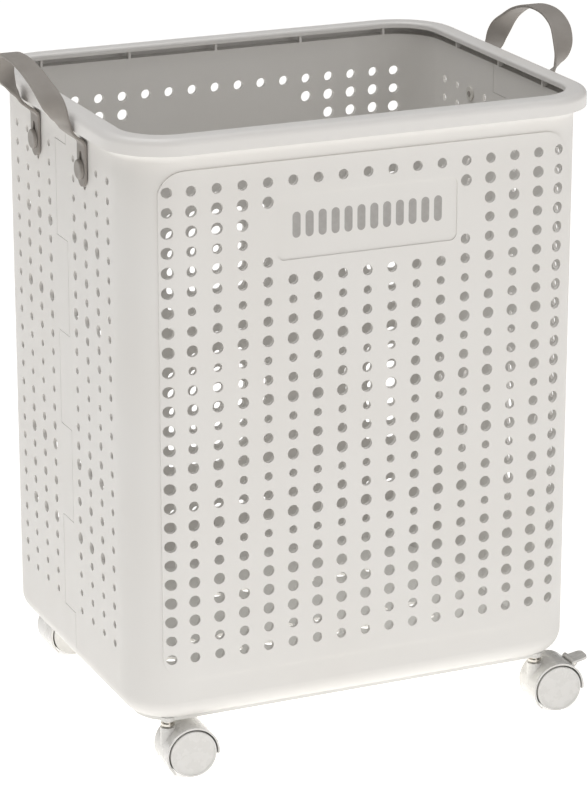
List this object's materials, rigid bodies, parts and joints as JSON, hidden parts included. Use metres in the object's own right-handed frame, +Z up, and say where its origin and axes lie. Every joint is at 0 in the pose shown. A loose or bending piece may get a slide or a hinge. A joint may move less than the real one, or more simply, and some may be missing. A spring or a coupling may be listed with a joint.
{
  "type": "linen trolley",
  "caption": "Tall perforated plastic linen basket on swivelling twin-wheel castors, with a rounded rim and flexible strap handles on the two narrow sides.",
  "frame": {"origin": "on the floor, under the middle of the basket", "axes": "+Z up, -Y towards the front face with the label recess, +X to the right seen from the front"},
  "size_m": [0.4926, 0.3346, 0.5733],
  "materials": {
    "shell_plastic": "fine satin moulded polypropylene, warm white",
    "rim_plastic": "satin moulded polypropylene, warm white",
    "tray_plastic": "satin moulded polypropylene, warm white",
    "strap_grey": "soft matt thermoplastic elastomer, warm grey",
    "washer_nylon": "natural nylon",
    "castor_plastic": "polished nylon, pale grey white",
    "tyre_rubber": "matt grey thermoplastic rubber tread",
    "bright_steel": "bright nickel-plated steel"
  },
  "bodies": {
    "basket": {"front_shell": "shell_plastic", "rear_shell": "shell_plastic", "rim_frame": "rim_plastic", "base_tray": "tray_plastic", "handle_studs": "strap_grey", "stud_washers": "washer_nylon", "castor_front_left_socket": "castor_plastic", "castor_front_right_socket": "castor_plastic", "castor_rear_left_socket": "castor_plastic", "castor_rear_right_socket": "castor_plastic"},
    "handle_left": {"handle_left_front_end": "strap_grey", "handle_left_rear_end": "strap_grey"},
    "handle_left_loop": {"handle_left_loop": "strap_grey"},
    "handle_right": {"handle_right_front_end": "strap_grey", "handle_right_rear_end": "strap_grey"},
    "handle_right_loop": {"handle_right_loop": "strap_grey"},
    "castor_front_left": {"castor_front_left_stem": "bright_steel", "castor_front_left_ring": "bright_steel", "castor_front_left_hood": "castor_plastic", "castor_front_left_axle": "bright_steel"},
    "castor_front_left_wheel_a": {"castor_front_left_wheel_a": "castor_plastic", "castor_front_left_tyre_a": "tyre_rubber"},
    "castor_front_left_wheel_b": {"castor_front_left_wheel_b": "castor_plastic", "castor_front_left_tyre_b": "tyre_rubber"},
    "castor_front_right": {"castor_front_right_stem": "bright_steel", "castor_front_right_ring": "bright_steel", "castor_front_right_hood": "castor_plastic", "castor_front_right_axle": "bright_steel", "castor_front_right_brake_pin": "bright_steel"},
    "castor_front_right_wheel_a": {"castor_front_right_wheel_a": "castor_plastic", "castor_front_right_tyre_a": "tyre_rubber"},
    "castor_front_right_wheel_b": {"castor_front_right_wheel_b": "castor_plastic", "castor_front_right_tyre_b": "tyre_rubber"},
    "castor_front_right_brake": {"castor_front_right_brake_lever": "castor_plastic"},
    "castor_rear_left": {"castor_rear_left_stem": "bright_steel", "castor_rear_left_ring": "bright_steel", "castor_rear_left_hood": "castor_plastic", "castor_rear_left_axle": "bright_steel", "castor_rear_left_brake_pin": "bright_steel"},
    "castor_rear_left_wheel_a": {"castor_rear_left_wheel_a": "castor_plastic", "castor_rear_left_tyre_a": "tyre_rubber"},
    "castor_rear_left_wheel_b": {"castor_rear_left_wheel_b": "castor_plastic", "castor_rear_left_tyre_b": "tyre_rubber"},
    "castor_rear_left_brake": {"castor_rear_left_brake_lever": "castor_plastic"},
    "castor_rear_right": {"castor_rear_right_stem": "bright_steel", "castor_rear_right_ring": "bright_steel", "castor_rear_right_hood": "castor_plastic", "castor_rear_right_axle": "bright_steel"},
    "castor_rear_right_wheel_a": {"castor_rear_right_wheel_a": "castor_plastic", "castor_rear_right_tyre_a": "tyre_rubber"},
    "castor_rear_right_wheel_b": {"castor_rear_right_wheel_b": "castor_plastic", "castor_rear_right_tyre_b": "tyre_rubber"}
  },
  "joints": [
    {"name": "handle_left_slide", "type": "slide", "parent": "basket", "child": "handle_left", "axis": [0, 0, 1], "range_m": [-0.012, 0]},
    {"name": "handle_left_flex", "type": "hinge", "parent": "handle_left", "child": "handle_left_loop", "pos_m": [-0.2108, 0, 0.5275], "axis": [0, -1, 0], "range_deg": [0, 60], "stiffness_Nm_per_rad": 0.08},
    {"name": "handle_right_slide", "type": "slide", "parent": "basket", "child": "handle_right", "axis": [0, 0, 1], "range_m": [-0.012, 0]},
    {"name": "handle_right_flex", "type": "hinge", "parent": "handle_right", "child": "handle_right_loop", "pos_m": [0.2108, 0, 0.5275], "axis": [0, 1, 0], "range_deg": [0, 60], "stiffness_Nm_per_rad": 0.08},
    {"name": "castor_front_left_swivel", "type": "hinge", "parent": "basket", "child": "castor_front_left", "pos_m": [-0.1663, -0.139, 0.045], "axis": [0, 0, 1], "continuous": true},
    {"name": "castor_front_left_roll_a", "type": "hinge", "parent": "castor_front_left", "child": "castor_front_left_wheel_a", "pos_m": [-0.15002, -0.13977, 0.02], "axis": [0.0471, 0.9989, 0], "continuous": true},
    {"name": "castor_front_left_roll_b", "type": "hinge", "parent": "castor_front_left", "child": "castor_front_left_wheel_b", "pos_m": [-0.15002, -0.13977, 0.02], "axis": [0.0471, 0.9989, 0], "continuous": true},
    {"name": "castor_front_right_swivel", "type": "hinge", "parent": "basket", "child": "castor_front_right", "pos_m": [0.1663, -0.139, 0.045], "axis": [0, 0, 1], "continuous": true},
    {"name": "castor_front_right_roll_a", "type": "hinge", "parent": "castor_front_right", "child": "castor_front_right_wheel_a", "pos_m": [0.18256, -0.14011, 0.02], "axis": [0.068, 0.9977, 0], "continuous": true},
    {"name": "castor_front_right_roll_b", "type": "hinge", "parent": "castor_front_right", "child": "castor_front_right_wheel_b", "pos_m": [0.18256, -0.14011, 0.02], "axis": [0.068, 0.9977, 0], "continuous": true},
    {"name": "castor_front_right_brake_press", "type": "hinge", "parent": "castor_front_right", "child": "castor_front_right_brake", "pos_m": [0.19898, -0.14123, 0.03828], "axis": [0.068, 0.9977, 0], "range_deg": [0, 14]},
    {"name": "castor_rear_left_swivel", "type": "hinge", "parent": "basket", "child": "castor_rear_left", "pos_m": [-0.1663, 0.139, 0.045], "axis": [0, 0, 1], "continuous": true},
    {"name": "castor_rear_left_roll_a", "type": "hinge", "parent": "castor_rear_left", "child": "castor_rear_left_wheel_a", "pos_m": [-0.15001, 0.13957, 0.02], "axis": [-0.0349, 0.9994, 0], "continuous": true},
    {"name": "castor_rear_left_roll_b", "type": "hinge", "parent": "castor_rear_left", "child": "castor_rear_left_wheel_b", "pos_m": [-0.15001, 0.13957, 0.02], "axis": [-0.0349, 0.9994, 0], "continuous": true},
    {"name": "castor_rear_left_brake_press", "type": "hinge", "parent": "castor_rear_left", "child": "castor_rear_left_brake", "pos_m": [-0.13356, 0.14014, 0.03828], "axis": [-0.0349, 0.9994, 0], "range_deg": [0, 14]},
    {"name": "castor_rear_right_swivel", "type": "hinge", "parent": "basket", "child": "castor_rear_right", "pos_m": [0.1663, 0.139, 0.045], "axis": [0, 0, 1], "continuous": true},
    {"name": "castor_rear_right_roll_a", "type": "hinge", "parent": "castor_rear_right", "child": "castor_rear_right_wheel_a", "pos_m": [0.18251, 0.1373, 0.02], "axis": [0.1045, 0.9945, 0], "continuous": true},
    {"name": "castor_rear_right_roll_b", "type": "hinge", "parent": "castor_rear_right", "child": "castor_rear_right_wheel_b", "pos_m": [0.18251, 0.1373, 0.02], "axis": [0.1045, 0.9945, 0], "continuous": true}
  ]
}
